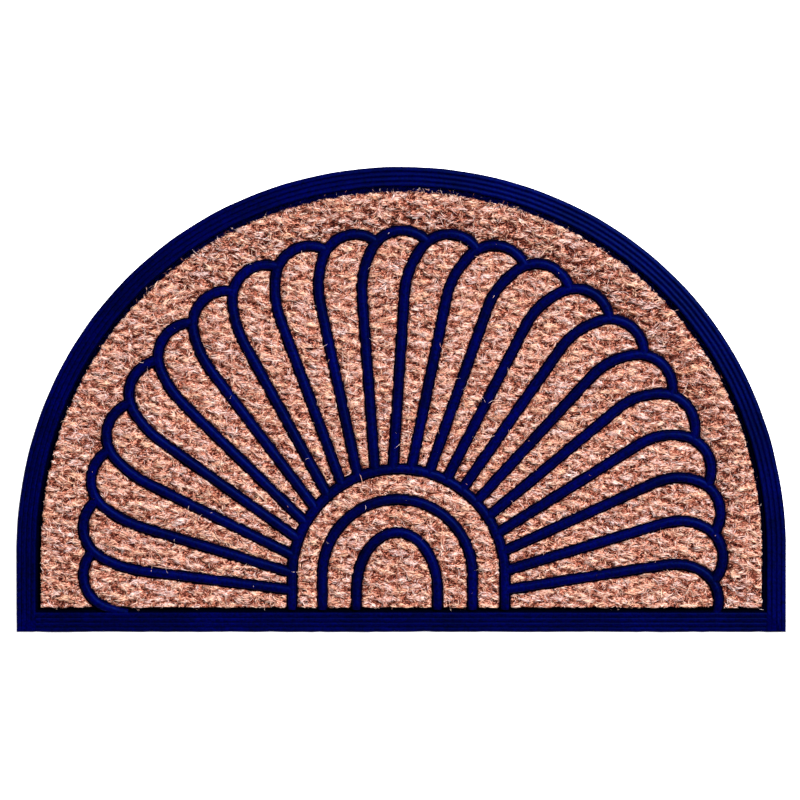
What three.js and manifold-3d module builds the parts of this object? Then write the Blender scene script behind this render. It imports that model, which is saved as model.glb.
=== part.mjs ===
// Half round doormat: one rubber moulding and the woven coir panel that is pressed into it.
// Millimetres, +Z up. The origin is the middle of the underside, and the straight side is at -Y.

import * as THREE from "three";
import { mergeVertices } from "three/addons/utils/BufferGeometryUtils.js";
import Module from "manifold-3d";

// Outline: a half circle that stands on two short straight sides.
const MAT_WIDTH = 762;
const SIDE_HEIGHT = 80.5;
const ARC_RADIUS = MAT_WIDTH / 2;
const ARC_SEGMENTS = 48;
const BOTTOM_Y = -(ARC_RADIUS + SIDE_HEIGHT) / 2;
const CENTRE_Y = BOTTOM_Y + SIDE_HEIGHT;

// Rubber backing and rim. Depths run inwards from the mat's edge.
const BACKING_THICKNESS = 2.4;
const EDGE_HEIGHT = 2.2;
const RIDGE_COUNT = 4;
const RIDGE_PITCH = 4.9;
const RIDGE_CREST = 0.7;
const RIM_RISE = 4.2;
const RIM_GROOVE_WIDTH = 1.8;
const RIM_GROOVE_FLOOR = 4.4;
const LIP_WIDTH = 3.2;
const LIP_HEIGHT = 6.6;
const RIM_WIDTH = RIDGE_COUNT * RIDGE_PITCH + RIM_GROOVE_WIDTH + LIP_WIDTH;

// Woven coir panel. It lies on the backing, and the ribs press it thin.
const FIT_GAP = 0.3;
const COIR_BOTTOM = BACKING_THICKNESS + FIT_GAP;
const COIR_TOP = 9.6;
const PRESSED_TOP = 4.3;

// Ribs: a rounded bead that stands in a trough in the coir.
const RIB_WIDTH = 8;
const RIB_BOTTOM = PRESSED_TOP + FIT_GAP;
const RIB_TOP = 8.8;
const TROUGH_WIDTH = 11.2;
const TROUGH_FLOOR_WIDTH = 9;

// Fan of ribs. Angles are in degrees, clockwise from the left. The bow moves the middle ribs on,
// and the lean moves the ribs at a quarter back and those at three quarters on.
const RIB_COUNT = 21;
const FOOT_ANGLES = { first: -8.0, last: 188.0, bow: -2.9, lean: 0 };
const KNEE_ANGLES = { first: -4.6, last: 183.4, bow: 1.4, lean: 0.3 };
const CAP_ANGLES = { first: -4.4, last: 181.0, bow: 1.9, lean: 0.35 };
const CAPS_SHIFT_X = 1.3;
const KNEE_RADIUS = 255;
const KNEE_SEGMENTS = 5;
const KNEE_HANDLE = 17;

// Cap of one rib: an arc, placed across and outwards from the fan's centre in the rib's own frame.
const CAP_CENTRE_ACROSS = 44.8;
const CAP_CENTRE_OUT = 280.4;
const CAP_RADIUS = 33.8;
const CAP_START_HEADING = 57.7;
const CAP_END_HEADING = -55;
const CAP_SEGMENTS = 9;

// Arches at the foot of the fan. Their centres are measured from the fan's centre.
const ARCHES = [
  { name: "outer", x: -2.8, y: -24.4, halfWidth: 105.6, rise: 105.6, segments: 22 },
  { name: "middle", x: -3.8, y: -23.4, halfWidth: 74.4, rise: 74.4, segments: 18 },
  { name: "inner", x: -4.3, y: -39.3, halfWidth: 40.2, rise: 57.5, segments: 16 },
];

const rubber = new THREE.MeshStandardMaterial({ color: 0x04083c, roughness: 0.55, metalness: 0 });
const coir = new THREE.MeshStandardMaterial({ color: 0xb27b6e, roughness: 0.95, metalness: 0 });

const wasm = await Module();
wasm.setup();

function toSolid(geometry) {
  geometry.deleteAttribute("normal");
  geometry.deleteAttribute("uv");
  const merged = mergeVertices(geometry, 1e-4);
  return new wasm.Manifold(
    new wasm.Mesh({
      numProp: 3,
      vertProperties: new Float32Array(merged.attributes.position.array),
      triVerts: new Uint32Array(merged.index.array),
    }),
  );
}

function toGeometry(solid) {
  const mesh = solid.getMesh();
  const geometry = new THREE.BufferGeometry();
  geometry.setAttribute("position", new THREE.BufferAttribute(new Float32Array(mesh.vertProperties), 3));
  geometry.setIndex(new THREE.BufferAttribute(new Uint32Array(mesh.triVerts), 1));
  geometry.computeVertexNormals();
  return geometry;
}

// Skins a row of rings that have the same number of points, and closes both ends with triangles.
function loft(rings, startTriangles, endTriangles) {
  const count = rings[0].length;
  const index = [];
  for (let r = 0; r < rings.length - 1; r += 1) {
    for (let i = 0; i < count; i += 1) {
      const a = r * count + i;
      const b = r * count + ((i + 1) % count);
      index.push(a, b, b + count, a, b + count, a + count);
    }
  }
  const last = (rings.length - 1) * count;
  startTriangles.forEach(([a, b, c]) => index.push(a, c, b));
  endTriangles.forEach(([a, b, c]) => index.push(last + a, last + b, last + c));
  const geometry = new THREE.BufferGeometry().setFromPoints(rings.flat());
  geometry.setIndex(index);
  return toSolid(geometry);
}

// The mat's outline, moved inwards by depth, counterclockwise seen from above.
function outline(depth) {
  const radius = ARC_RADIUS - depth;
  const points = [new THREE.Vector2(-radius, BOTTOM_Y + depth), new THREE.Vector2(radius, BOTTOM_Y + depth)];
  for (let i = 0; i <= ARC_SEGMENTS; i += 1) {
    const angle = (Math.PI * i) / ARC_SEGMENTS;
    points.push(new THREE.Vector2(radius * Math.cos(angle), CENTRE_Y + radius * Math.sin(angle)));
  }
  return points;
}

function outlineRing({ depth, z }) {
  return outline(depth).map((p) => new THREE.Vector3(p.x, p.y, z));
}

function halfRoundSolid(profile) {
  const underside = THREE.ShapeUtils.triangulateShape(outline(profile[0].depth), []);
  const top = THREE.ShapeUtils.triangulateShape(outline(profile.at(-1).depth), []);
  return loft(profile.map(outlineRing), underside, top);
}

function rimProfile() {
  const profile = [
    { depth: 0, z: 0 },
    { depth: 0, z: EDGE_HEIGHT },
  ];
  for (let ridge = 0; ridge < RIDGE_COUNT; ridge += 1) {
    for (const share of [0.25, 0.75, 1]) {
      const crest = share < 1 ? RIDGE_CREST : 0;
      const along = (ridge + share) / RIDGE_COUNT;
      profile.push({ depth: (ridge + share) * RIDGE_PITCH, z: EDGE_HEIGHT + RIM_RISE * along + crest });
    }
  }
  const grooveStart = RIDGE_COUNT * RIDGE_PITCH;
  profile.push({ depth: grooveStart + RIM_GROOVE_WIDTH / 2, z: RIM_GROOVE_FLOOR });
  profile.push({ depth: grooveStart + RIM_GROOVE_WIDTH, z: LIP_HEIGHT });
  profile.push({ depth: RIM_WIDTH, z: LIP_HEIGHT });
  profile.push({ depth: RIM_WIDTH, z: BACKING_THICKNESS });
  return profile;
}

// Sections are points to the left of the path and up, in the order that turns their faces out.
const beadSection = [
  [-0.5, 0],
  [0.5, 0],
  [0.44, 0.62],
  [0.2, 1],
  [-0.2, 1],
  [-0.44, 0.62],
].map(([across, up]) => ({ across: across * RIB_WIDTH, z: RIB_BOTTOM + up * (RIB_TOP - RIB_BOTTOM) }));

const troughSection = [
  { across: -TROUGH_FLOOR_WIDTH / 2, z: PRESSED_TOP },
  { across: TROUGH_FLOOR_WIDTH / 2, z: PRESSED_TOP },
  { across: TROUGH_WIDTH / 2, z: COIR_TOP + 1 },
  { across: -TROUGH_WIDTH / 2, z: COIR_TOP + 1 },
];

function sweep(path, section) {
  const rings = path.map((point, i) => {
    const before = path[Math.max(i - 1, 0)];
    const after = path[Math.min(i + 1, path.length - 1)];
    const arrive = point.clone().sub(before).normalize();
    const leave = after.clone().sub(point).normalize();
    const along = arrive.add(leave).normalize();
    return section.map(({ across, z }) => {
      return new THREE.Vector3(point.x - along.y * across, point.y + along.x * across, z);
    });
  });
  const end = THREE.ShapeUtils.triangulateShape(section.map((s) => new THREE.Vector2(s.across, s.z)), []);
  return loft(rings, end, end);
}

// Unit vector at an angle clockwise from the left, and the one across it, clockwise.
function outwards(degrees) {
  const angle = THREE.MathUtils.degToRad(degrees);
  return new THREE.Vector2(-Math.cos(angle), Math.sin(angle));
}

function across(degrees) {
  const angle = THREE.MathUtils.degToRad(degrees);
  return new THREE.Vector2(Math.sin(angle), Math.cos(angle));
}

function spread({ first, last, bow, lean }, rib) {
  const t = rib / (RIB_COUNT - 1);
  return first + (last - first) * t + bow * 4 * t * (1 - t) - lean * Math.sin(2 * Math.PI * t);
}

const fanCentre = new THREE.Vector2(0, CENTRE_Y);
const capsCentre = new THREE.Vector2(CAPS_SHIFT_X, CENTRE_Y);

// Turns a place across and outwards in a rib's own frame into a place on the mat.
function inRibFrame(rib, placeAcross, placeOut) {
  const angle = spread(CAP_ANGLES, rib);
  return capsCentre
    .clone()
    .addScaledVector(across(angle), placeAcross)
    .addScaledVector(outwards(angle), placeOut);
}

function capPoint(rib, heading) {
  const turn = THREE.MathUtils.degToRad(heading);
  return inRibFrame(
    rib,
    CAP_CENTRE_ACROSS - CAP_RADIUS * Math.sin(turn),
    CAP_CENTRE_OUT + CAP_RADIUS * Math.cos(turn),
  );
}

function capPath(rib) {
  const path = [];
  for (let i = 0; i <= CAP_SEGMENTS; i += 1) {
    path.push(capPoint(rib, THREE.MathUtils.lerp(CAP_START_HEADING, CAP_END_HEADING, i / CAP_SEGMENTS)));
  }
  return path;
}

function ribPath(rib) {
  const arch = ARCHES[0];
  const foot = new THREE.Vector2(arch.x, CENTRE_Y + arch.y).addScaledVector(
    outwards(spread(FOOT_ANGLES, rib)),
    arch.rise,
  );
  const knee = fanCentre.clone().addScaledVector(outwards(spread(KNEE_ANGLES, rib)), KNEE_RADIUS);
  const cap = capPath(rib);
  const legDirection = knee.clone().sub(foot).normalize();
  const capDirection = cap[0].clone().sub(capPoint(rib, CAP_START_HEADING + 1)).normalize();
  const bend = new THREE.CubicBezierCurve(
    knee,
    knee.clone().addScaledVector(legDirection, KNEE_HANDLE),
    cap[0].clone().addScaledVector(capDirection, -KNEE_HANDLE),
    cap[0],
  );
  return [foot, ...bend.getPoints(KNEE_SEGMENTS), ...cap.slice(1)];
}

function archPath({ x, y, halfWidth, rise, segments }) {
  const legEnd = BOTTOM_Y + RIM_WIDTH - LIP_WIDTH / 2;
  const centre = new THREE.Vector2(x, CENTRE_Y + y);
  const path = [new THREE.Vector2(centre.x - halfWidth, legEnd)];
  for (let i = 0; i <= segments; i += 1) {
    const turn = (Math.PI * i) / segments;
    path.push(new THREE.Vector2(centre.x - halfWidth * Math.cos(turn), centre.y + rise * Math.sin(turn)));
  }
  path.push(new THREE.Vector2(centre.x + halfWidth, legEnd));
  return path;
}

// The fan starts with the tip of one more rib, whose leg would lie under the rim.
const firstTip = ribPath(-1).slice(1);
const fanPaths = Array.from({ length: RIB_COUNT }, (_, rib) => ribPath(rib));
const ribPaths = [firstTip, ...fanPaths, ...ARCHES.map(archPath)];
const panelOutline = [
  { depth: RIM_WIDTH + FIT_GAP, z: COIR_BOTTOM },
  { depth: RIM_WIDTH + FIT_GAP, z: COIR_TOP },
];

function unionOf(solids) {
  return solids.reduce((all, solid) => all.add(solid));
}

function makeRubberMoulding() {
  const room = halfRoundSolid([
    { depth: RIM_WIDTH - LIP_WIDTH / 2, z: 0 },
    { depth: RIM_WIDTH - LIP_WIDTH / 2, z: COIR_TOP },
  ]);
  const ribs = unionOf(ribPaths.map((path) => sweep(path, beadSection)));
  return halfRoundSolid(rimProfile()).add(ribs.intersect(room));
}

function makeCoirPanel() {
  const troughs = unionOf(ribPaths.map((path) => sweep(path, troughSection)));
  return halfRoundSolid(panelOutline).subtract(troughs);
}

function addPiece(group, name, solid, material) {
  const mesh = new THREE.Mesh(toGeometry(solid), material);
  mesh.name = name;
  group.add(mesh);
}

const doormat = new THREE.Group();
addPiece(doormat, "rubber_moulding", makeRubberMoulding(), rubber);
addPiece(doormat, "coir_panel", makeCoirPanel(), coir);

export default doormat;
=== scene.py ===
# Half round doormat, dressed for rendering: the moulded rubber and the woven coir in it.
# Metres, in the frame's own axes. The straight side is at -Y.
import math

import bpy
import numpy as np
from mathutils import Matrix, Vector, noise


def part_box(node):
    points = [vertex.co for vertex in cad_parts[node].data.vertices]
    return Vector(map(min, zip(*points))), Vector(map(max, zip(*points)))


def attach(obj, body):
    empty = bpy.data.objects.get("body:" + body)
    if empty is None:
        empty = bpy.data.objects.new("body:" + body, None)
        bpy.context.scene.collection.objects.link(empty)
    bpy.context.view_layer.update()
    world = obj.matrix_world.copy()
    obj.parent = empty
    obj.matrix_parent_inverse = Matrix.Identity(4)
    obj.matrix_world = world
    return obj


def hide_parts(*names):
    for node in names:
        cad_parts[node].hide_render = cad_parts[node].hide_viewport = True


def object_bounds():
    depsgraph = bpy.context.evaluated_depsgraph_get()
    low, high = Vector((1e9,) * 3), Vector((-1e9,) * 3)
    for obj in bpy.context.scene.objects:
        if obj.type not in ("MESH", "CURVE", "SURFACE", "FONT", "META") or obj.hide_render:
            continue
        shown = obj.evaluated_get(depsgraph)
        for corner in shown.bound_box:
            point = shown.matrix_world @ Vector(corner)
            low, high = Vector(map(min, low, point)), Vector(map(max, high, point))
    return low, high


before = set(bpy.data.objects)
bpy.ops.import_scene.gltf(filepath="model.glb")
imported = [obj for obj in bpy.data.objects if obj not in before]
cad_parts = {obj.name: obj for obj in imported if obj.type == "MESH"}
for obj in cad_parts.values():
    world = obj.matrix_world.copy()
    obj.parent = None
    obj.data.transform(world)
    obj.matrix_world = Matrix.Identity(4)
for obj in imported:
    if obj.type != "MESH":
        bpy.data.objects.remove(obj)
cad_box = [list(corner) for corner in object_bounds()]


# Camera and surroundings.
# The mat lies on a plain pale floor and is seen from straight above, as in a catalogue picture. A
# large lamp stands far off to the upper right, and a weak one hangs nearly overhead.
MM = 0.001
picture_pixels = 800
picture_middle_pixel = 399.5
metres_per_pixel = 0.992 * MM
mat_bottom_pixel = 631.5
mat_middle_pixel = 400.8
camera_height = 6.0
sharp_height = 4 * MM
sensor_width = 36
floor_size = 12
floor_gap = 0.2 * MM

view_x = (picture_middle_pixel - mat_middle_pixel) * metres_per_pixel
view_y = (mat_bottom_pixel - picture_middle_pixel) * metres_per_pixel + cad_box[0][1]
bpy.ops.object.camera_add(location=(view_x, view_y, camera_height))
camera = bpy.context.object
camera.name = "camera"
camera.data.sensor_width = sensor_width
camera.data.lens = sensor_width * (camera_height - sharp_height) / (picture_pixels * metres_per_pixel)
bpy.context.scene.camera = camera
bpy.context.scene.view_settings.view_transform = "Standard"


def new_material(name, roughness):
    material = bpy.data.materials.new(name)
    material.use_nodes = True
    shader = material.node_tree.nodes["Principled BSDF"]
    shader.inputs["Roughness"].default_value = roughness
    return material, material.node_tree, shader


bpy.ops.object.select_all(action="DESELECT")
bpy.ops.mesh.primitive_plane_add(size=floor_size, location=(0, 0, -floor_gap))
floor = bpy.context.object
floor.name = "floor"
paper, _, paper_shader = new_material("white_floor", 0.9)
paper_shader.inputs["Base Color"].default_value = (0.93, 0.93, 0.93, 1)
paper_shader.inputs["Emission Color"].default_value = (1, 1, 1, 1)
paper_shader.inputs["Emission Strength"].default_value = 0.7
floor.data.materials.append(paper)


def add_area_light(name, place, size, watts, colour):
    bpy.ops.object.light_add(type="AREA", location=place)
    light = bpy.context.object
    light.name = name
    light.rotation_euler = (-Vector(place)).to_track_quat("-Z", "Y").to_euler()
    light.data.size = size
    light.data.energy = watts
    light.data.color = colour


add_area_light("key_light", place=(3.25, 4.0, 8.0), size=2.25, watts=2125, colour=(1, 0.985, 0.985))
add_area_light("fill_light", place=(0.6, 0.2, 3.0), size=2.4, watts=14, colour=(0.96, 0.98, 1))
sky = bpy.data.worlds.new("sky")
bpy.context.scene.world = sky
sky.use_nodes = True
sky.node_tree.nodes["Background"].inputs["Color"].default_value = (1, 1, 1, 1)
sky.node_tree.nodes["Background"].inputs["Strength"].default_value = 0.42


# Rubber backing and rim.
# One moulding in navy rubber: a thin backing, a rim that rises in four fine rounded ridges, and inside
# it a narrow groove and a low lip that holds the coir's edge. The straight side's ridges butt the rest.
rubber_low, rubber_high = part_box("rubber_moulding")
arc_radius = rubber_high.x
bottom_y = rubber_low.y
centre_y = rubber_high.y - arc_radius
arc_steps = 240
shoulder_bulge = 2.7 * MM
side_bulge = 0.9 * MM
top_bulge = 0.2 * MM
wander_size = 0.35 * MM
wander_length = 24 * MM
nick_size = 0.4 * MM
nick_length = 7 * MM
wander_seed = 4
edge_height = 2.2 * MM
backing_thickness = 2.4 * MM
ridge_count = 4
ridge_pitch = 4.85 * MM
ridge_crest = 1.0 * MM
ridge_steps = 7
ridge_overlap = 0.3 * MM
rim_rise = 4.0 * MM
groove_width = 2.2 * MM
groove_floor = 2.6 * MM
lip_width = 2.4 * MM
lip_height = 5.6 * MM
lip_round = 0.6 * MM
corner_steps = 8
ridges_width = ridge_count * ridge_pitch
rim_width = ridges_width + groove_width + lip_width
strip_steps = 90

rim_profile = [(0, 0), (0, edge_height)]
for ridge in range(ridge_count):
    for step in range(1, ridge_steps + 1):
        share = step / ridge_steps
        crest = ridge_crest * math.sin(math.pi * share) ** 0.5 if share < 1 else 0
        climb = rim_rise * (ridge + share) / ridge_count
        rim_profile.append(((ridge + share) * ridge_pitch, edge_height + climb + crest))
rim_profile.append((ridges_width + ridge_overlap, 0))


def add_outline(name, places):
    """A flat face through the places, in edit mode with all of it selected."""
    bpy.ops.object.select_all(action="DESELECT")
    bpy.ops.mesh.primitive_circle_add(vertices=len(places), fill_type="NGON")
    piece = bpy.context.object
    piece.name = name
    for vertex, place in zip(piece.data.vertices, places):
        vertex.co = place
    bpy.ops.object.mode_set(mode="EDIT")
    bpy.ops.mesh.select_all(action="SELECT")
    return piece


def extrude_by(x, y, z):
    bpy.ops.mesh.extrude_region_move(TRANSFORM_OT_translate={"value": (x, y, z)})


def finish_outline():
    bpy.ops.mesh.select_all(action="SELECT")
    bpy.ops.mesh.normals_make_consistent(inside=False)
    bpy.ops.object.mode_set(mode="OBJECT")


side_stops = [bottom_y + ridges_width * step / corner_steps for step in range(corner_steps + 1)]
side_stops.append(centre_y)
ridge_arc = add_outline("ridge_arc", [(arc_radius - d, bottom_y, h) for d, h in rim_profile])
for low, high in zip(side_stops, side_stops[1:]):
    extrude_by(0, high - low, 0)
bpy.ops.mesh.spin(steps=arc_steps, angle=-math.pi, center=(0, centre_y, 0), axis=(0, 0, 1))
for low, high in zip(side_stops[-2::-1], side_stops[::-1]):
    extrude_by(0, low - high, 0)
finish_outline()
for vertex in ridge_arc.data.vertices:
    slope = edge_height + rim_rise * (vertex.co.y - bottom_y) / ridges_width + ridge_crest
    vertex.co.z = min(vertex.co.z, slope)

strip_end = arc_radius - ridges_width
ridge_strip = add_outline("ridge_strip", [(-strip_end, bottom_y + d, h) for d, h in rim_profile])
for step in range(strip_steps):
    extrude_by(2 * strip_end / strip_steps, 0, 0)
finish_outline()

tray_radius = arc_radius - ridges_width
tray_bottom = bottom_y + ridges_width
turns = [math.pi * step / arc_steps for step in range(arc_steps + 1)]
tray_outline = [(tray_radius * math.cos(t), centre_y + tray_radius * math.sin(t), 0) for t in turns]
tray_outline += [(-tray_radius, tray_bottom, 0), (tray_radius, tray_bottom, 0)]
rubber = add_outline("rubber_body", tray_outline)
extrude_by(0, 0, groove_floor)
tray_profile = [
    (groove_width, groove_floor),
    (groove_width + lip_width * 0.7, lip_height - lip_round),
    (groove_width + lip_width * 0.9, lip_height),
    (groove_width + lip_width, backing_thickness),
]
depth_before, height_before = 0, groove_floor
for depth, height in tray_profile:
    bpy.ops.mesh.inset(
        thickness=depth - depth_before, depth=height - height_before, use_even_offset=True
    )
    depth_before, height_before = depth, height
finish_outline()


def bulge_at(x, y):
    """How far the mat's edge stands outside a true half circle there."""
    turn = np.arctan2(np.maximum(y - centre_y, 0), x)
    shoulder = shoulder_bulge * np.sin(2 * turn) ** 2
    return shoulder + side_bulge * np.cos(turn) ** 2 + top_bulge * np.sin(turn) ** 4


def shape_edge(piece):
    """Gives the piece the mat's fuller shoulders, and the wandering lines of a hand-laid moulding."""
    for vertex in piece.data.vertices:
        x, y = vertex.co.x, vertex.co.y
        out = Vector((x, max(y - centre_y, 0), 0)).normalized()
        wander = noise.noise_vector(vertex.co / wander_length) * wander_size
        nicks = noise.noise(Vector((x, 0, 0)) / nick_length) * nick_size
        nicks *= max(0, 1 - (y - bottom_y) / ridge_pitch)
        vertex.co += out * float(bulge_at(x, y)) + Vector((wander.x, wander.y + nicks, 0))


def depth_from_arc(x, y):
    return arc_radius + bulge_at(x, y) - np.hypot(x, np.maximum(y - centre_y, 0))


def depth_inside(x, y):
    """How far a place lies inside the mat's edge."""
    return np.minimum(depth_from_arc(x, y), y - bottom_y)


noise.seed_set(wander_seed)
for piece in (ridge_arc, ridge_strip, rubber):
    shape_edge(piece)


# Rubber ribs.
# Rounded beads of the same moulding. Each rib runs straight out from the outer arch, leans over at
# its knee and ends in a round cap on the next rib, and three arches stand at the foot of the fan.
rib_count = 21
rib_width = 8.0 * MM
rib_bottom = 4.6 * MM
rib_top = 8.8 * MM
foot_angles = {"first": -8.0, "last": 188.0, "bow": -3.0, "lean": -0.15}
knee_angles = {"first": -4.6, "last": 183.4, "bow": 1.3, "lean": 0.15}
cap_angles = {"first": -4.4, "last": 181.0, "bow": 1.9, "lean": 0.35}
caps_shift_x = 1.3 * MM
knee_radius = 255 * MM
knee_handle = 17 * MM
cap_centre_across = 44.8 * MM
cap_centre_out = 280.4 * MM
cap_radius = 33.8 * MM
cap_start_heading = 57.7
cap_end_heading = -55.0
path_step = 3.0 * MM
arches = [
    {"x": -2.8 * MM, "y": -24.4 * MM, "half_width": 105.6 * MM, "rise": 105.6 * MM},
    {"x": -3.8 * MM, "y": -23.4 * MM, "half_width": 74.4 * MM, "rise": 74.4 * MM},
    {"x": -4.3 * MM, "y": -39.3 * MM, "half_width": 40.2 * MM, "rise": 57.5 * MM},
]


def spread(angles, rib):
    t = rib / (rib_count - 1)
    bowed = angles["first"] + (angles["last"] - angles["first"]) * t + angles["bow"] * 4 * t * (1 - t)
    return math.radians(bowed - angles["lean"] * math.sin(2 * math.pi * t))


def outwards(angle):
    return np.array([-math.cos(angle), math.sin(angle)])


def across(angle):
    return np.array([math.sin(angle), math.cos(angle)])


def cap_points(rib, headings):
    angle = spread(cap_angles, rib)
    turn = np.radians(headings)
    to_side = cap_centre_across - cap_radius * np.sin(turn)
    to_tip = cap_centre_out + cap_radius * np.cos(turn)
    middle = np.array([caps_shift_x, centre_y])
    return middle + np.outer(to_side, across(angle)) + np.outer(to_tip, outwards(angle))


def even_points(line, step):
    """The line's points again, evenly spaced."""
    lengths = np.concatenate([[0], np.cumsum(np.linalg.norm(np.diff(line, axis=0), axis=1))])
    places = np.linspace(0, lengths[-1], max(2, round(lengths[-1] / step) + 1))
    return np.stack([np.interp(places, lengths, line[:, axis]) for axis in (0, 1)], axis=1)


def rib_line(rib):
    foot = np.array([arches[0]["x"], centre_y + arches[0]["y"]])
    foot = foot + arches[0]["rise"] * outwards(spread(foot_angles, rib))
    knee = np.array([0, centre_y]) + knee_radius * outwards(spread(knee_angles, rib))
    cap = cap_points(rib, np.linspace(cap_start_heading, cap_end_heading, 60))
    leg_way = (knee - foot) / np.linalg.norm(knee - foot)
    cap_way = (cap[1] - cap[0]) / np.linalg.norm(cap[1] - cap[0])
    t = np.linspace(0, 1, 40)[:, None]
    bend = (
        (1 - t) ** 3 * knee
        + 3 * (1 - t) ** 2 * t * (knee + leg_way * knee_handle)
        + 3 * (1 - t) * t**2 * (cap[0] - cap_way * knee_handle)
        + t**3 * cap[0]
    )
    return foot, bend, cap


def arch_line(arch):
    turn = np.linspace(0, math.pi, 120)
    x = arch["x"] - arch["half_width"] * np.cos(turn)
    y = centre_y + arch["y"] + arch["rise"] * np.sin(turn)
    leg_end = bottom_y + rim_width - lip_width / 2
    left = [arch["x"] - arch["half_width"], leg_end]
    right = [arch["x"] + arch["half_width"], leg_end]
    return np.vstack([left, np.stack([x, y], axis=1), right])


# Of the rib before the first only the bend and the cap show, as the low tip at the fan's left end.
first_bend, first_cap = rib_line(-1)[1:]
rib_lines = [np.vstack([first_bend, first_cap[1:]])]
for rib in range(rib_count):
    foot, bend, cap = rib_line(rib)
    rib_lines.append(np.vstack([foot, bend, cap[1:]]))
rib_lines += [arch_line(arch) for arch in arches]


def ease(low, high, value):
    t = np.clip((value - low) / (high - low), 0, 1)
    return t * t * (3 - 2 * t)


rib_ends_depth = ridges_width + groove_width
rib_end_drop = 2.2 * MM
shade_foot_height = 4.5 * MM
shade_foot_half_width = 5.7 * MM
rib_lines = [even_points(line, path_step) for line in rib_lines]
rib_lines = [line[depth_inside(line[:, 0], line[:, 1]) > rib_ends_depth - path_step] for line in rib_lines]
rng = np.random.default_rng(11)


def lay_beads(name, half_width, half_height, middle_height, resolution, unevenness):
    """A mesh of beads with an oval section along all the rib lines."""
    bpy.ops.object.select_all(action="DESELECT")
    bpy.ops.curve.primitive_bezier_circle_add(radius=1)
    section = bpy.context.object
    section.scale = (half_width, half_height, 1)
    bpy.ops.object.transform_apply(scale=True)
    section.data.resolution_u = resolution
    bead_curve = bpy.data.curves.new(name, "CURVE")
    bead_curve.dimensions = "3D"
    bead_curve.twist_mode = "Z_UP"
    bead_curve.bevel_mode = "OBJECT"
    bead_curve.bevel_object = section
    bead_curve.use_fill_caps = True
    for line in rib_lines:
        spline = bead_curve.splines.new("POLY")
        spline.points.add(len(line) - 1)
        wander = rng.normal(0, unevenness, len(line))
        for point, place, stray in zip(spline.points, line, wander):
            ending = rib_end_drop * ease(rim_width + 1 * MM, rib_ends_depth, depth_inside(*place))
            point.co = (place[0], place[1], middle_height - ending, 1)
            point.radius = 1 + stray
    beads = bpy.data.objects.new(name, bead_curve)
    bpy.context.scene.collection.objects.link(beads)
    bpy.ops.object.select_all(action="DESELECT")
    beads.select_set(True)
    bpy.context.view_layer.objects.active = beads
    bpy.ops.object.convert(target="MESH")
    bpy.data.objects.remove(section)
    return bpy.context.object


ribs = lay_beads(
    "rubber_ribs",
    half_width=rib_width / 2,
    half_height=(rib_top - rib_bottom) / 2,
    middle_height=(rib_bottom + rib_top) / 2,
    resolution=3,
    unevenness=0.008,
)
# Flat near black strips beside each bead: rubber soaked into the coir, and painted crevice shade.
rib_shade_feet = lay_beads(
    "rib_shade_feet",
    half_width=shade_foot_half_width,
    half_height=0.9 * MM,
    middle_height=shade_foot_height,
    resolution=1,
    unevenness=0.045,
)


# Rubber finish.
# Deep navy, satin, with dull and fresh patches, a fine grain and the pitting of a moulded surface. The
# creases between the ridges are painted darker, as painted shade. The low groove, lip and backing are
# painted nearly black as painted shade, and so are the flat strips where rubber has soaked the coir beside
# the ribs, which also stand for the painted shade of the crevices there.
def add_node(tree, kind, settings=None, **values):
    node = tree.nodes.new(kind)
    for name, value in (settings or {}).items():
        setattr(node, name, value)
    for name, value in values.items():
        node.inputs[name.replace("_", " ")].default_value = value
    return node


def add_noise(tree, scale, detail):
    place = add_node(tree, "ShaderNodeTexCoord")
    texture = add_node(tree, "ShaderNodeTexNoise", Scale=scale, Detail=detail)
    tree.links.new(place.outputs["Object"], texture.inputs["Vector"])
    return texture.outputs["Fac"]


def add_ramp(tree, source, stops):
    ramp = tree.nodes.new("ShaderNodeValToRGB")
    tree.links.new(source, ramp.inputs["Fac"])
    elements = ramp.color_ramp.elements
    for index, (position, colour) in enumerate(stops):
        element = elements[index] if index < 2 else elements.new(position)
        element.position = position
        element.color = (*colour, 1)
    return ramp.outputs["Color"]


def add_bump(tree, shader, source, strength, distance):
    bump = add_node(tree, "ShaderNodeBump", Strength=strength, Distance=distance)
    tree.links.new(source, bump.inputs["Height"])
    tree.links.new(bump.outputs["Normal"], shader.inputs["Normal"])


patch_scale = 14
grain_scale = 420
pit_scale = 500
blue_sheen = (0.035, 0.14, 1, 1)


def rubber_finish(name, dull, fresh, shine):
    material, tree, shader = new_material(name, 0.42)
    patches = add_noise(tree, patch_scale, 5)
    colour = add_ramp(tree, patches, [(0.3, dull), (0.7, fresh)])
    specks = add_noise(tree, grain_scale, 3)
    grain = add_ramp(tree, specks, [(0.36, (0.25, 0.25, 0.25)), (0.64, (1, 1, 1))])
    grained = add_node(tree, "ShaderNodeVectorMath", {"operation": "MULTIPLY"})
    tree.links.new(colour, grained.inputs[0])
    tree.links.new(grain, grained.inputs[1])
    tree.links.new(grained.outputs[0], shader.inputs["Base Color"])
    shader.inputs["Specular IOR Level"].default_value = shine
    shader.inputs["Specular Tint"].default_value = blue_sheen
    add_bump(tree, shader, add_noise(tree, pit_scale, 3), strength=0.5, distance=0.4 * MM)
    return material


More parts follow.
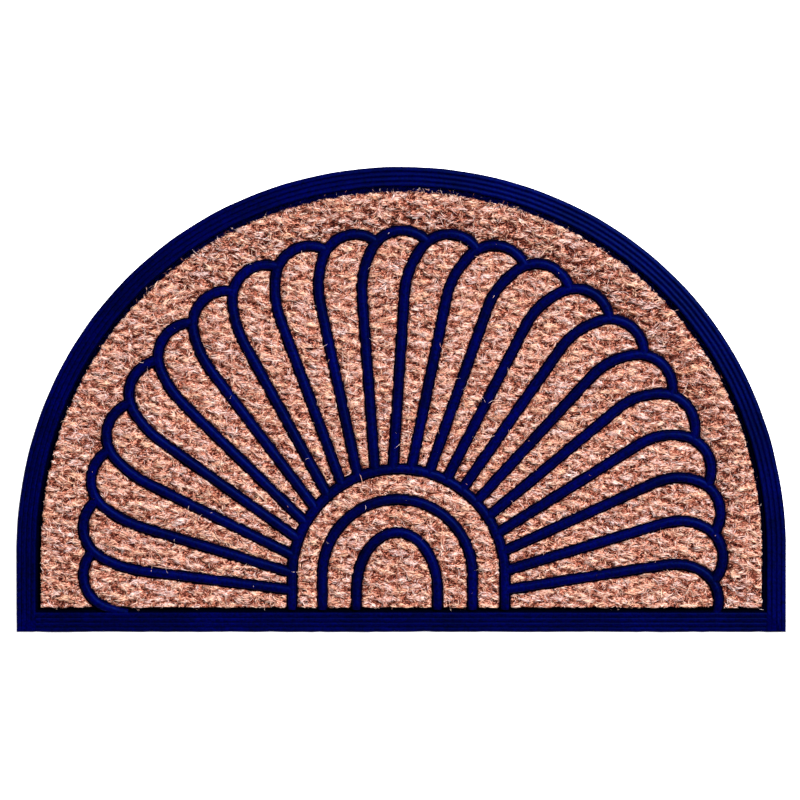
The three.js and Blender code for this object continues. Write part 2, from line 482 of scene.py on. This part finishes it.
navy_rubber = rubber_finish("navy_rubber", (0.00001, 0.00005, 0.02), (0.00002, 0.0001, 0.05), 0.075)
# The crease finish is a darker copy of the navy: painted shade in the valleys between the ridges.
crease_shade_rubber = rubber_finish("rubber_crease_shade", (0.00001, 0.00003, 0.012), (0.00002, 0.00005, 0.028), 0.04)
# The near black finish is painted shade for the low groove, lip and backing and the strips beside the ribs.
hollow_shade_rubber = rubber_finish("rubber_hollow_shade", (0.00001, 0.00003, 0.002), (0.00002, 0.00005, 0.005), 0.02)
for piece, finish in (
    (ridge_arc, navy_rubber),
    (ridge_strip, navy_rubber),
    (rubber, hollow_shade_rubber),
    (ribs, navy_rubber),
    (rib_shade_feet, hollow_shade_rubber),
):
    piece.data.materials.clear()
    piece.data.materials.append(finish)
    piece.select_set(True)
# Faces along the valleys between the ridges take the crease finish: painted shade.
crease_shade_share = 0.6 / ridge_steps
for piece, along_y in ((ridge_arc, False), (ridge_strip, True)):
    piece.data.materials.append(crease_shade_rubber)
    for face in piece.data.polygons:
        x, y = face.center.x, face.center.y
        depth = (y - bottom_y if along_y else depth_from_arc(x, y)) / ridge_pitch
        face.material_index = int(depth > 0.5 and abs(depth - round(depth)) < crease_shade_share)
bpy.context.view_layer.objects.active = rubber
bpy.ops.object.join()
bpy.ops.object.shade_smooth_by_angle(angle=math.radians(40))
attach(rubber, "root")
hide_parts("rubber_moulding")


# Coir cloth.
# A half round panel of thick plain-woven coir. Its weft yarns arch over the warp in brick-like rows,
# and the ribs and the rim press it down along their lines, where rubber has soaked into it. There it is
# painted near black, which is also painted shade of the crevices, and the gaps of the weave and a band
# outside the caps are painted darker as painted shade.
coir_low, coir_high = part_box("coir_panel")
coir_radius = coir_high.x
pressed_height = 3.6 * MM
coir_height = 9.3 * MM
float_pitch = 28.8 * MM
row_pitch = 6.45 * MM
row_lean = 0.035
yarn_drop = 2.8 * MM
cushion_drop = 2.0 * MM
rib_reach = 18 * MM
yarn_reach = 14 * MM
map_step = 0.5 * MM
map_low = np.array([-arc_radius, bottom_y])
map_shape = (round(2 * arc_radius / map_step) + 2, round((rubber_high.y - bottom_y) / map_step) + 2)


def map_window(values, point, reach):
    """The part of a map that lies within reach of a point, and its places measured from the point."""
    i, j = np.round((np.array(point) - map_low) / map_step).astype(int)
    span = int(reach / map_step)
    i0, i1 = max(i - span, 0), min(i + span + 1, map_shape[0])
    j0, j1 = max(j - span, 0), min(j + span + 1, map_shape[1])
    x = map_low[0] + np.arange(i0, i1) * map_step - point[0]
    y = map_low[1] + np.arange(j0, j1) * map_step - point[1]
    return values[i0:i1, j0:j1], x[:, None], y[None, :]


def read_map(values, x, y):
    """The map's value at each place, worked out between its four nearest points."""
    u = np.clip((x - map_low[0]) / map_step, 0, map_shape[0] - 1.001)
    v = np.clip((y - map_low[1]) / map_step, 0, map_shape[1] - 1.001)
    i, j = u.astype(int), v.astype(int)
    u, v = u - i, v - j
    near = values[i, j] * (1 - u) + values[i + 1, j] * u
    far = values[i, j + 1] * (1 - u) + values[i + 1, j + 1] * u
    return near * (1 - v) + far * v


rib_map = np.full(map_shape, rib_reach)
for point in np.vstack([even_points(line, map_step) for line in rib_lines]):
    window, x, y = map_window(rib_map, point, rib_reach)
    np.minimum(window, np.hypot(x, y), out=window)


def rib_distance(x, y):
    return read_map(rib_map, x, y)


rng = np.random.default_rng(5)
row_count = int((rubber_high.y - bottom_y) / row_pitch) + 2
half_columns = int(arc_radius / float_pitch) + 2
lattice = []
for row in range(row_count):
    for column in range(-half_columns, half_columns + 1):
        x = column * float_pitch + (row % 2) * float_pitch / 2 - row * row_pitch * row_lean
        lattice.append((x, bottom_y + row * row_pitch))
lattice = np.array(lattice)
under_rim = 6 * MM
lattice = lattice[depth_inside(lattice[:, 0], lattice[:, 1]) > rim_width - under_rim]


def lay_yarn(shift_y, turn, half_length, half_width, top, edge_drop):
    """One run of yarn at each place of the weave, with its own stray, size, turn and colour."""
    count = len(lattice)
    return {
        "x": lattice[:, 0] + rng.normal(0, 1.2 * MM, count),
        "y": lattice[:, 1] + shift_y + rng.normal(0, 0.8 * MM, count),
        "turn": rng.normal(turn, 0.12, count),
        "half_length": half_length * rng.uniform(0.85, 1.15, count),
        "half_width": half_width * rng.uniform(0.85, 1.15, count),
        "top": rng.normal(top, 0.14, count),
        "edge_drop": np.full(count, edge_drop),
        "shade": rng.normal(0, 0.05, count),
        "tint": rng.normal(0.5, 0.2, count),
    }


def yarn_breadth(along):
    """Half the width of a run of yarn, full in its middle and narrow at its ends."""
    return 1 - 0.62 * np.clip(np.abs(along), 0, 1) ** 1.4


weft = lay_yarn(
    shift_y=0, turn=-0.05, half_length=9.8 * MM, half_width=3.4 * MM, top=0, edge_drop=0.6
)
warp = lay_yarn(
    shift_y=row_pitch, turn=math.pi / 2, half_length=3.6 * MM, half_width=2.8 * MM, top=-0.42, edge_drop=0.4
)
relief_map = np.full(map_shape, -1.0)
for yarn in (weft, warp):
    sizes = ("x", "y", "turn", "half_length", "half_width", "top", "edge_drop")
    for x0, y0, turn, half_length, half_width, top, edge_drop in zip(*(yarn[name] for name in sizes)):
        window, x, y = map_window(relief_map, (x0, y0), yarn_reach)
        along = (x * math.cos(turn) + y * math.sin(turn)) / half_length
        beside = (y * math.cos(turn) - x * math.sin(turn)) / (half_width * yarn_breadth(along))
        height = top - 0.45 * np.abs(along) ** 2.4 - edge_drop * np.abs(beside) ** 2.4
        np.maximum(window, height, out=window)


def yarn_height(x, y):
    """The top of the woven yarn: lower towards the ribs, pressed down at them and at the rim."""
    cushion = cushion_drop * (1 - ease(3.0 * MM, rib_reach, rib_distance(x, y)))
    beside_rib = ease(5.0 * MM, 6.4 * MM, rib_distance(x, y))
    beside_rim = ease(-1.2 * MM, 1.0 * MM, depth_inside(x, y) - rim_width)
    height = pressed_height + (coir_height - cushion - pressed_height) * beside_rib
    height = np.minimum(height, backing_thickness + (coir_height - backing_thickness) * beside_rim)
    return np.maximum(height + yarn_drop * read_map(relief_map, x, y), coir_low.z + 1 * MM)


bpy.ops.object.select_all(action="DESELECT")
cloth_step = 1.8 * MM
cloth_size = coir_high - coir_low
bpy.ops.mesh.primitive_grid_add(
    x_subdivisions=round(cloth_size.x / cloth_step),
    y_subdivisions=round(cloth_size.y / cloth_step),
    size=1,
    location=((coir_low.x + coir_high.x) / 2, (coir_low.y + coir_high.y) / 2, coir_height),
)
cloth = bpy.context.object
cloth.name = "coir_cloth"
cloth.scale = (cloth_size.x, cloth_size.y, 1)
bpy.ops.object.transform_apply(location=True, scale=True)
bpy.ops.object.mode_set(mode="EDIT")
bpy.ops.mesh.select_all(action="DESELECT")
bpy.ops.object.mode_set(mode="OBJECT")
for face in cloth.data.polygons:
    above = max(face.center.y - centre_y, 0)
    face.select = math.hypot(face.center.x, above) > coir_radius
bpy.ops.object.mode_set(mode="EDIT")
bpy.ops.mesh.delete(type="FACE")
bpy.ops.object.mode_set(mode="OBJECT")
for vertex in cloth.data.vertices:
    above = max(vertex.co.y - centre_y, 0)
    from_centre = math.hypot(vertex.co.x, above)
    if above > 0 and from_centre > coir_radius - 0.3 * cloth_step:
        vertex.co.x *= coir_radius / from_centre
        vertex.co.y = centre_y + above * coir_radius / from_centre
bpy.ops.object.mode_set(mode="EDIT")
bpy.ops.mesh.select_all(action="SELECT")
bpy.ops.mesh.region_to_loop()
bpy.ops.mesh.extrude_edges_move(TRANSFORM_OT_translate={"value": (0, 0, coir_low.z - coir_height)})
bpy.ops.mesh.edge_face_add()
bpy.ops.mesh.select_all(action="SELECT")
bpy.ops.mesh.normals_make_consistent(inside=False)
bpy.ops.object.mode_set(mode="OBJECT")

places = np.zeros(len(cloth.data.vertices) * 3)
cloth.data.vertices.foreach_get("co", places)
places = places.reshape(-1, 3)
out_x, out_y = places[:, 0] / coir_radius, np.maximum(places[:, 1] - centre_y, 0) / coir_radius
bulge = bulge_at(places[:, 0], places[:, 1]) * np.hypot(out_x, out_y)
places[:, 0] += bulge * out_x
places[:, 1] += bulge * out_y
upper = places[:, 2] > coir_height - 1 * MM
cloth_x, cloth_y = places[upper, 0], places[upper, 1]
places[upper, 2] = np.maximum(yarn_height(cloth_x, cloth_y) - 0.9 * MM, coir_low.z + 0.8 * MM)
cloth.data.vertices.foreach_set("co", places.ravel())
cloth.data.update()


def soak_and_crevice_shade(x, y):
    """Blackening of the coir, full by the ribs and lip, none in the open: soaked rubber and painted shade.
    """
    by_rib = 1 - ease(5.4 * MM, 6.2 * MM, rib_distance(x, y))
    by_rim = 1 - ease(-0.6 * MM, 0.6 * MM, depth_inside(x, y) - rim_width)
    return np.maximum(by_rib, by_rim)


# A band of coir just outside the caps is painted darker, as painted shade, most of all at the upper right.
cap_band_shade_amount = 0.17
cap_band_shade_least = 0.35
cap_band_shade_turn = math.radians(65)


def cap_band_shade(x, y):
    """Painted shade: how much darker the coir is in a band outside the caps, most at the upper right."""
    turn = np.arctan2(np.maximum(y - centre_y, 0), x)
    depth = depth_from_arc(x, y)
    band = ease(24 * MM, 54 * MM, depth) * (1 - ease(63 * MM, 67 * MM, depth))
    return cap_band_shade_amount * band * np.maximum(np.cos(turn - cap_band_shade_turn), cap_band_shade_least)


def set_attribute(obj, name, values):
    attribute = obj.data.attributes.new(name, "FLOAT", "POINT")
    attribute.data.foreach_set("value", values.astype(np.float32))


def set_smooth(obj):
    obj.data.polygons.foreach_set("use_smooth", [True] * len(obj.data.polygons))


cloth_shade = np.zeros(len(places))
# Painted shade: the cloth is darker in the gaps between the floats and in the band outside the caps.
cloth_shade[upper] = 0.35 + 0.32 * read_map(relief_map, cloth_x, cloth_y)
cloth_shade[upper] += rng.normal(0, 0.08, len(cloth_x)) - cap_band_shade(cloth_x, cloth_y)
set_attribute(cloth, "soak_and_shade", soak_and_crevice_shade(places[:, 0], places[:, 1]))
set_attribute(cloth, "shade", cloth_shade)
set_attribute(cloth, "tint", np.full(len(places), 0.4))
set_smooth(cloth)


def add_mix(tree, blend, factor, first, second):
    """Mixes two colours. The factor and the second colour may each be a socket or a value."""
    mix = add_node(tree, "ShaderNodeMix", {"data_type": "RGBA", "blend_type": blend})
    for socket, value in ((mix.inputs["Factor"], factor), (mix.inputs[6], first), (mix.inputs[7], second)):
        if isinstance(value, bpy.types.NodeSocket):
            tree.links.new(value, socket)
        else:
            socket.default_value = value
    return mix.outputs[2]


def coir_finish(name, stretch, spread, bump_size):
    """Reddish tan by the piece's own shade and tint, with streaks, and near black where rubber soaked it
    and where crevice shade is painted.
    """
    material, tree, shader = new_material(name, 0.85)
    shader.inputs["Specular IOR Level"].default_value = 0.08
    shade = add_node(tree, "ShaderNodeAttribute", {"attribute_name": "shade"}).outputs["Fac"]
    tint = add_node(tree, "ShaderNodeAttribute", {"attribute_name": "tint"}).outputs["Fac"]
    soak_and_shade = add_node(tree, "ShaderNodeAttribute", {"attribute_name": "soak_and_shade"}).outputs["Fac"]
    place = add_node(tree, "ShaderNodeTexCoord").outputs["Object"]
    mapping = add_node(tree, "ShaderNodeMapping", Scale=stretch)
    streaks = add_node(tree, "ShaderNodeTexNoise", Scale=1, Detail=4, Distortion=1.2)
    tree.links.new(place, mapping.inputs["Vector"])
    tree.links.new(mapping.outputs["Vector"], streaks.inputs["Vector"])
    centred = add_node(tree, "ShaderNodeMath", {"operation": "SUBTRACT"})
    tree.links.new(streaks.outputs["Fac"], centred.inputs[0])
    centred.inputs[1].default_value = 0.5
    varied = add_node(tree, "ShaderNodeMath", {"operation": "MULTIPLY_ADD"})
    tree.links.new(centred.outputs[0], varied.inputs[0])
    varied.inputs[1].default_value = spread
    tree.links.new(shade, varied.inputs[2])
    browns = [(0, (0.014, 0.001, 0.0007)), (0.2, (0.235, 0.05, 0.032))]
    pinks = [(0.42, (0.575, 0.25, 0.191)), (0.82, (0.905, 0.68, 0.635))]
    tan = add_ramp(tree, varied.outputs[0], browns + pinks)
    tinge = add_ramp(tree, tint, [(0.1, (1, 0.88, 0.66)), (0.9, (0.92, 0.97, 1.0))])
    tan = add_mix(tree, "MULTIPLY", 1, tan, tinge)
    # Near black where soaked: rubber in the coir, and painted shade of the crevices by the ribs and the
    # lip.
    soak_and_shade_tan = add_mix(tree, "MIX", soak_and_shade, tan, (0.0006, 0.0008, 0.006, 1))
    tree.links.new(soak_and_shade_tan, shader.inputs["Base Color"])
    add_bump(tree, shader, streaks.outputs["Fac"], 0.8, bump_size)
    return material


matted_coir = coir_finish("matted_coir", stretch=(400, 1000, 600), spread=2.8, bump_size=1.0 * MM)
cloth.data.materials.append(matted_coir)
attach(cloth, "root")
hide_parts("coir_panel")


# Coir yarn.
# Thick, loosely spun yarn. Its fibres lie in tufts that slant a little along each float and stray in
# all directions, and they are cut off short where the ribs and the rim press the cloth down.
def arc_points(fibres, t):
    """Points along fibres that bend evenly. t runs from -0.5 at one end to 0.5 at the other."""
    bend = fibres["bend"][:, None]
    chord = fibres["length"][:, None] * t * np.sinc(bend * t / (2 * math.pi))
    way = fibres["heading"][:, None] + bend * t / 2
    return fibres["x"][:, None] + chord * np.cos(way), fibres["y"][:, None] + chord * np.sin(way)


def cut_to_panel(fibres):
    """Gives each fibre the stretch around its middle that is clear of the ribs and the rim."""
    checks = 12
    x, y = arc_points(fibres, np.linspace(-0.5, 0.5, checks + 1))
    rib_stray = rng.normal(shade_foot_half_width, 0.35 * MM, len(x))[:, None]
    rim_stray = rng.normal(rim_width - 0.6 * MM, 0.8 * MM, len(x))[:, None]
    clear = (rib_distance(x, y) > rib_stray) & (depth_inside(x, y) > rim_stray)
    half = checks // 2
    before = np.cumprod(clear[:, half::-1], axis=1).sum(axis=1)
    after = np.cumprod(clear[:, half:], axis=1).sum(axis=1)
    fibres["start"] = (1 - before) / checks
    fibres["end"] = (after - 1) / checks
    kept = before + after > 4
    return {name: values[kept] for name, values in fibres.items()}


def make_fibres(name, fibres, steps, material):
    """One mesh of three-sided fibres with pointed ends that lie on the yarn."""
    share = np.linspace(0, 1, steps)
    t = fibres["start"][:, None] + (fibres["end"] - fibres["start"])[:, None] * share
    x, y = arc_points(fibres, t)
    lift = fibres["lift"][:, None] - fibres["sink"][:, None] * (2 * share - 1) ** 2
    ground = yarn_height(x, y)
    if "over_rubber" in fibres:
        on_rib = rib_top * (1 - ease(3.4 * MM, 4.6 * MM, rib_distance(x, y)))
        on_rim = lip_height * (1 - ease(-1 * MM, 0, depth_inside(x, y) - rim_width))
        ground = np.maximum(ground, np.maximum(on_rib, on_rim))
    lines = np.stack([x, y, np.maximum(ground + lift, coir_low.z + 0.6 * MM)], axis=2)

    ways = np.gradient(lines, axis=1)
    ways /= np.linalg.norm(ways, axis=2, keepdims=True) + 1e-12
    sides = np.cross(ways, [0, 0, 1])
    sides /= np.linalg.norm(sides, axis=2, keepdims=True) + 1e-12
    ups = np.cross(sides, ways)
    turns = np.radians([90, 210, 330])[:, None]
    count = len(lines)
    rings = steps - 2
    around = np.cos(turns) * sides[:, 1:-1, None] + np.sin(turns) * ups[:, 1:-1, None]
    body = lines[:, 1:-1, None] + fibres["radius"][:, None, None, None] * around
    points_each = rings * 3 + 2
    points = np.concatenate([body.reshape(count, rings * 3, 3), lines[:, :1], lines[:, -1:]], axis=1)
    root, tip = rings * 3, rings * 3 + 1
    last = (rings - 1) * 3
    pattern = []
    for k in range(3):
        n = (k + 1) % 3
        pattern.append((root, n, k))
        for ring in range(rings - 1):
            a, b = ring * 3 + k, ring * 3 + n
            pattern.append((a, b, b + 3))
            pattern.append((a, b + 3, a + 3))
        pattern.append((last + k, last + n, tip))
    faces = (np.array(pattern)[None] + np.arange(count)[:, None, None] * points_each).reshape(-1, 3)

    mesh = bpy.data.meshes.new(name)
    mesh.from_pydata(points.reshape(-1, 3), [], faces)
    piece = bpy.data.objects.new(name, mesh)
    bpy.context.scene.collection.objects.link(piece)
    set_attribute(piece, "shade", np.repeat(fibres["shade"], points_each))
    set_attribute(piece, "tint", np.repeat(fibres["tint"], points_each))
    set_smooth(piece)
    mesh.materials.append(material)
    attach(piece, "root")
    return piece


loose_coir = coir_finish("loose_coir", stretch=(60, 60, 60), spread=0.35, bump_size=0.3 * MM)


def spin_fibres(yarn, tufts_per_yarn, fibres_per_tuft, shortest, longest, stray_share):
    """Fibres in tufts on the yarn, each tuft with its own slant, bend, height and shade."""
    owner = np.repeat(np.arange(len(yarn["x"])), tufts_per_yarn)
    tufts = len(owner)
    u = rng.uniform(-0.9, 0.9, tufts)
    v = rng.uniform(-0.95, 0.95, tufts)
    along = u * yarn["half_length"][owner]
    beside = v * yarn["half_width"][owner] * yarn_breadth(u)
    cos, sin = np.cos(yarn["turn"][owner]), np.sin(yarn["turn"][owner])
    middle_x = yarn["x"][owner] + along * cos - beside * sin
    middle_y = yarn["y"][owner] + along * sin + beside * cos
    stray = rng.uniform(0, 1, tufts) < stray_share
    slant = np.where(stray, rng.uniform(-1.6, 1.6, tufts), rng.normal(-0.1 - 0.4 * v * u, 0.25, tufts))
    bend = rng.normal(0, 0.6, tufts)
    length = rng.uniform(shortest, longest, tufts)
    lift = rng.uniform(-0.5, 0.35, tufts) * MM
    shade = yarn["shade"][owner] + rng.normal(0.59, 0.02, tufts)
    tint = yarn["tint"][owner] + rng.normal(0, 0.2, tufts)

    tuft = np.repeat(np.arange(tufts), fibres_per_tuft)
    count = len(tuft)
    heading = (yarn["turn"][owner] + slant)[tuft]
    aside = rng.normal(0, 0.8 * MM, count)
    ahead = rng.normal(0, 1.2 * MM, count)
    depth = rng.uniform(-1, 1, count)
    fibres = {
        "x": middle_x[tuft] + ahead * np.cos(heading) - aside * np.sin(heading),
        "y": middle_y[tuft] + ahead * np.sin(heading) + aside * np.cos(heading),
        "heading": heading + rng.normal(0, 0.2, count),
        "bend": bend[tuft] + rng.normal(0, 0.5, count),
        "length": length[tuft] * rng.uniform(0.75, 1.15, count),
        "lift": lift[tuft] + depth * 0.5 * MM,
        "sink": rng.uniform(0.2, 1.1, count) * MM,
        # Fibres that lie lower in a tuft are painted darker, as painted shade.
        "shade": shade[tuft] + 0.12 * depth + rng.normal(0, 0.36, count),
        "tint": tint[tuft] + rng.normal(0, 0.12, count),
        "radius": rng.uniform(0.2, 0.42, count) * MM,
    }
    # Painted shade: fibres are darker in the gaps of the weave and in the band outside the caps.
    fibres["shade"] -= 0.12 * read_map(relief_map, fibres["x"], fibres["y"]) ** 2
    fibres["shade"] -= cap_band_shade(fibres["x"], fibres["y"])
    return cut_to_panel(fibres)


def make_strips(name, fibres, strips, steps):
    """The fibres as one or more pieces, side by side, none of them too heavy."""
    for strip, part in enumerate(np.array_split(np.argsort(fibres["x"]), strips), start=1):
        chosen = {key: values[part] for key, values in fibres.items()}
        make_fibres(f"{name}_{strip}", chosen, steps, loose_coir)


long_tufts = spin_fibres(
    weft, tufts_per_yarn=5, fibres_per_tuft=5, shortest=7 * MM, longest=12 * MM, stray_share=0.1
)
make_strips("weft_yarn", long_tufts, strips=2, steps=4)
short_tufts = spin_fibres(
    weft, tufts_per_yarn=12, fibres_per_tuft=3, shortest=4 * MM, longest=8 * MM, stray_share=0.3
)
make_strips("weft_ply", short_tufts, strips=2, steps=3)
warp_tufts = spin_fibres(
    warp, tufts_per_yarn=4, fibres_per_tuft=3, shortest=4 * MM, longest=8 * MM, stray_share=0.3
)
make_strips("warp_yarn", warp_tufts, strips=1, steps=3)


# Coir fuzz.
# Short ends that have worked out of the yarn all over the cloth, pale on top and dark in the gaps.
fuzz_count = 16000
fuzz = {
    "x": rng.uniform(coir_low.x, coir_high.x, fuzz_count),
    "y": rng.uniform(coir_low.y, coir_high.y, fuzz_count),
    "heading": rng.normal(0, 0.9, fuzz_count),
    "bend": rng.normal(0, 1.2, fuzz_count),
    "length": rng.uniform(2.5, 6, fuzz_count) * MM,
    "lift": rng.uniform(-0.5, 0.6, fuzz_count) * MM,
    "sink": rng.uniform(-0.2, 0.8, fuzz_count) * MM,
    "shade": rng.normal(0.45, 0.25, fuzz_count),
    "tint": rng.normal(0.5, 0.3, fuzz_count),
    "radius": rng.uniform(0.16, 0.34, fuzz_count) * MM,
}
make_fibres("coir_fuzz", cut_to_panel(fuzz), 3, loose_coir)


# Loose coir hairs.
# Long thin fibres that stand out of the yarn in curls. Some lie over the ribs and the rim.
hair_count = 900
hairs = {
    "x": rng.uniform(coir_low.x, coir_high.x, hair_count),
    "y": rng.uniform(coir_low.y, coir_high.y, hair_count),
    "heading": rng.uniform(0, 2 * math.pi, hair_count),
    "bend": rng.normal(0, 1.8, hair_count),
    "length": rng.gamma(4.0, 2.4 * MM, hair_count),
    "lift": rng.uniform(0.4, 1.1, hair_count) * MM,
    "sink": rng.uniform(-0.5, 1.0, hair_count) * MM,
    "shade": rng.normal(0.72, 0.16, hair_count),
    "tint": rng.normal(0.6, 0.25, hair_count),
    "radius": rng.uniform(0.13, 0.24, hair_count) * MM,
}
rooted = (rib_distance(hairs["x"], hairs["y"]) > 6 * MM) & (
    depth_inside(hairs["x"], hairs["y"]) > rim_width + 1 * MM
)
hairs = {name: values[rooted] for name, values in hairs.items()}


def lay_loose(fibres):
    """Fibres that keep their whole length and lie on the rubber where they cross it."""
    count = len(fibres["x"])
    stretch = {"start": np.full(count, -0.5), "end": np.full(count, 0.5)}
    return {**fibres, **stretch, "over_rubber": np.ones(count)}


make_fibres("coir_hairs", lay_loose(hairs), 7, loose_coir)


# Ragged edge.
# Along the top of the arc the coir's cut edge is rough. Tan ends and ends coated with the blue rubber
# lie mixed over the lip and the groove.
def edge_ends(count, depth_low, depth_high, shade):
    turn = rng.normal(math.pi / 2, 0.42, count)
    depth = rng.uniform(depth_low, depth_high, count)
    radius = arc_radius + bulge_at(np.cos(turn), centre_y + np.sin(turn)) - depth
    return {
        "x": radius * np.cos(turn),
        "y": centre_y + radius * np.sin(turn),
        "heading": turn + rng.normal(0, 1.1, count),
        "bend": rng.normal(0, 1.0, count),
        "length": rng.uniform(2, 8, count) * MM,
        "lift": rng.uniform(0, 0.8, count) * MM,
        "sink": rng.uniform(0, 0.6, count) * MM,
        "shade": rng.normal(shade, 0.18, count),
        "tint": rng.normal(0.5, 0.3, count),
        "radius": rng.uniform(0.15, 0.3, count) * MM,
    }


tan_ends = edge_ends(110, 22.0 * MM, 25.5 * MM, 0.55)
blue_ends = edge_ends(2600, 21.0 * MM, 24.6 * MM, 0)
make_fibres("edge_ends", lay_loose(tan_ends), 4, loose_coir)
make_fibres("coated_ends", lay_loose(blue_ends), 4, navy_rubber)


# Lint.
# A few bits of coir that have been trodden off and lie on the ribs.
lint_count = 22
rib_points = np.vstack(rib_lines)
lint_places = rib_points[rng.integers(0, len(rib_points), lint_count)]
lint_places = lint_places + rng.normal(0, 1.4 * MM, lint_places.shape)
lint = {
    "x": lint_places[:, 0],
    "y": lint_places[:, 1],
    "heading": rng.uniform(0, 2 * math.pi, lint_count),
    "bend": rng.normal(0, 1.5, lint_count),
    "length": rng.gamma(2.0, 0.9 * MM, lint_count),
    "lift": np.full(lint_count, 0.2 * MM),
    "sink": np.zeros(lint_count),
    "shade": rng.normal(0.5, 0.2, lint_count),
    "tint": rng.normal(0.8, 0.2, lint_count),
    "radius": rng.uniform(0.12, 0.3, lint_count) * MM,
}
make_fibres("lint", lay_loose(lint), 4, loose_coir)
